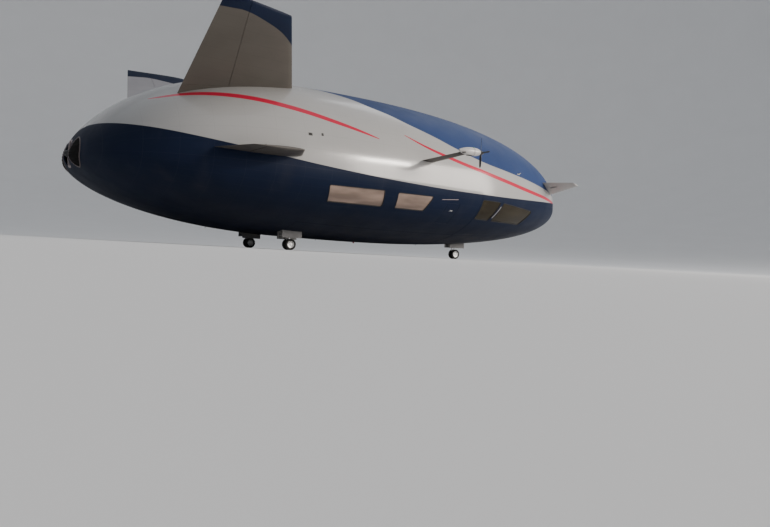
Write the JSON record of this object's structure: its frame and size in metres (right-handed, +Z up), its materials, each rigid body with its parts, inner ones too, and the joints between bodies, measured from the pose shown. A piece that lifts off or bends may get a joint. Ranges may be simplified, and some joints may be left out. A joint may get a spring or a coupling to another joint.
{
  "type": "passenger airship, 1:2 scale model",
  "caption": "Flattened lifting-body airship with canted tail fins, foreplanes, side propellers, stern thruster, windowed lower cabin and steerable landing gear.",
  "frame": {"origin": "on the ground under the middle of the length and width", "axes": "+X towards the nose, +Y to port, +Z up"},
  "size_m": [32.1, 24.96, 11.5493],
  "materials": {
    "envelope_white": "smooth coated laminate, white with navy and red paintwork",
    "composite_white": "white gloss paint on composite, with navy and grey paintwork",
    "hull_navy": "gloss navy paint on composite panels",
    "glazing": "tinted clear glazing",
    "deck": "matt deck covering",
    "lining": "matt interior lining",
    "upholstery": "dark upholstery",
    "fitting_grey": "satin grey paint",
    "blade_black": "black composite",
    "gear_steel": "machined steel",
    "wheel_metal": "cast aluminium",
    "tyre": "black rubber"
  },
  "bodies": {
    "hull": {"belly_bow": "hull_navy", "belly_mid": "hull_navy", "bow_wall_left": "hull_navy", "bow_wall_right": "hull_navy", "cabin_bulkhead": "lining", "cabin_ceiling": "lining", "cabin_floor": "deck", "cabin_seats": "upholstery", "cabin_wall_left": "hull_navy", "cabin_wall_right": "hull_navy", "canard_root_left": "composite_white", "canard_root_right": "composite_white", "cockpit_console": "blade_black", "cockpit_seats": "upholstery", "cockpit_window_aft_left": "glazing", "cockpit_window_aft_right": "glazing", "cockpit_window_fore_left": "glazing", "cockpit_window_fore_right": "glazing", "envelope_aft": "envelope_white", "envelope_fore": "envelope_white", "envelope_mid": "envelope_white", "fin_left": "composite_white", "fin_right": "composite_white", "hull_stern": "hull_navy", "lounge_window_aft_left": "glazing", "lounge_window_aft_right": "glazing", "lounge_window_fore_left": "glazing", "lounge_window_fore_right": "glazing", "main_bay_left": "fitting_grey", "main_bay_right": "fitting_grey", "main_leg_left": "gear_steel", "main_leg_right": "gear_steel", "nacelle_left": "composite_white", "nacelle_right": "composite_white", "nose_bay": "fitting_grey", "nose_leg": "gear_steel", "pylon_left": "composite_white", "pylon_right": "composite_white", "stern_duct": "fitting_grey", "tailplane_left": "composite_white", "tailplane_right": "composite_white"},
    "propeller_right": {"propeller_right": "blade_black"},
    "propeller_left": {"propeller_left": "blade_black"},
    "stern_fan": {"stern_fan": "blade_black"},
    "rudder_right": {"rudder_right": "composite_white"},
    "rudder_left": {"rudder_left": "composite_white"},
    "canard_right": {"canard_right": "composite_white"},
    "canard_left": {"canard_left": "composite_white"},
    "nose_fork": {"nose_fork": "gear_steel"},
    "nose_wheels": {"nose_hubs": "wheel_metal", "nose_tyre_outer": "tyre", "nose_tyre_inner": "tyre"},
    "main_wheels_right": {"main_hubs_right": "wheel_metal", "main_tyre_right_outer": "tyre", "main_tyre_right_inner": "tyre"},
    "main_wheels_left": {"main_hubs_left": "wheel_metal", "main_tyre_left_outer": "tyre", "main_tyre_left_inner": "tyre"},
    "door_right": {"boarding_door_right": "hull_navy"},
    "door_left": {"boarding_door_left": "hull_navy"}
  },
  "joints": [
    {"name": "propeller_right_spin", "type": "hinge", "parent": "hull", "child": "propeller_right", "pos_m": [2.71, -11.7, 5.6], "axis": [1, 0, 0], "continuous": true},
    {"name": "rudder_right_hinge", "type": "hinge", "parent": "hull", "child": "rudder_right", "pos_m": [-9.263, -5.855, 7.9314], "axis": [-0.0616, -0.7685, 0.6369], "range_deg": [-20, 20]},
    {"name": "canard_right_pitch", "type": "hinge", "parent": "hull", "child": "canard_right", "pos_m": [12.74, -5.95, 4.92], "axis": [0, 1, 0], "range_deg": [-35, 10]},
    {"name": "main_wheels_right_roll", "type": "hinge", "parent": "hull", "child": "main_wheels_right", "pos_m": [-4.25, -3.3, 0.32], "axis": [0, 1, 0], "continuous": true},
    {"name": "door_right_swing", "type": "hinge", "parent": "hull", "child": "door_right", "pos_m": [3.55, -6.88206, 2.016], "axis": [0.9945, 0.1043, 0], "range_deg": [0, 85]},
    {"name": "propeller_left_spin", "type": "hinge", "parent": "hull", "child": "propeller_left", "pos_m": [2.71, 11.7, 5.6], "axis": [1, 0, 0], "continuous": true},
    {"name": "rudder_left_hinge", "type": "hinge", "parent": "hull", "child": "rudder_left", "pos_m": [-9.263, 5.855, 7.9314], "axis": [-0.0616, 0.7685, 0.6369], "range_deg": [-20, 20]},
    {"name": "canard_left_pitch", "type": "hinge", "parent": "hull", "child": "canard_left", "pos_m": [12.74, 5.95, 4.92], "axis": [0, 1, 0], "range_deg": [-35, 10]},
    {"name": "main_wheels_left_roll", "type": "hinge", "parent": "hull", "child": "main_wheels_left", "pos_m": [-4.25, 3.3, 0.32], "axis": [0, 1, 0], "continuous": true},
    {"name": "door_left_swing", "type": "hinge", "parent": "hull", "child": "door_left", "pos_m": [3.55, 6.88206, 2.016], "axis": [-0.9945, 0.1043, 0], "range_deg": [0, 85]},
    {"name": "stern_fan_spin", "type": "hinge", "parent": "hull", "child": "stern_fan", "pos_m": [-15.51, 0, 4.505], "axis": [1, 0, 0], "continuous": true},
    {"name": "nose_steer", "type": "hinge", "parent": "hull", "child": "nose_fork", "pos_m": [9.35, 0, 1.05], "axis": [0, 0, 1], "range_deg": [-60, 60]},
    {"name": "nose_wheels_roll", "type": "hinge", "parent": "nose_fork", "child": "nose_wheels", "pos_m": [9.35, 0, 0.32], "axis": [0, 1, 0], "continuous": true}
  ]
}
